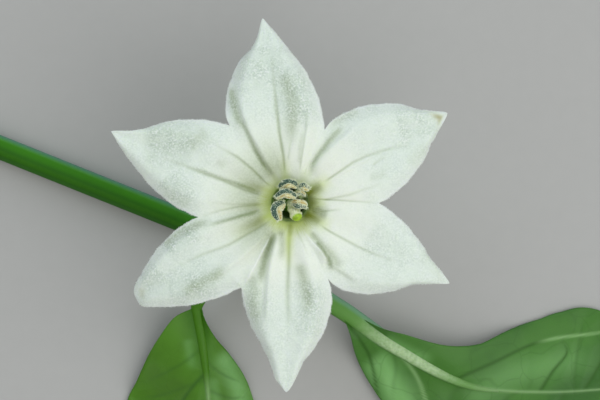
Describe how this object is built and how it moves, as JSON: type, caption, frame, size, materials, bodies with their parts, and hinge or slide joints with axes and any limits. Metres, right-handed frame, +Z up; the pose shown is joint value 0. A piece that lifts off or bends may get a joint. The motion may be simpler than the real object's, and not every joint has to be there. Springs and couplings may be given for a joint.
{
  "type": "chili pepper flower",
  "caption": "White star-shaped chili pepper flower on a cut stem with leaves, lying down and facing up.",
  "frame": {"origin": "middle of the footprint, on the surface that the cut stem and the leaves lie on", "axes": "+Z up, the way the open flower faces; +X along the greatest length, from the stem's cut end to the right leaf's tip; +Y towards the top lobe"},
  "size_m": [0.062, 0.0448, 0.0168],
  "materials": {
    "petal": "matte",
    "anther": "matte",
    "pistil": "satin",
    "calyx": "satin",
    "stalk": "satin",
    "stem": "satin",
    "leaf": "satin"
  },
  "bodies": {
    "root": {"corolla": "petal", "anther_1": "anther", "anther_2": "anther", "anther_3": "anther", "anther_4": "anther", "anther_5": "anther", "anther_6": "anther", "pistil": "pistil", "calyx": "calyx", "pedicel": "stalk", "stem": "stem", "leaf_right": "leaf", "leaf_lower": "leaf"}
  },
  "joints": []
}
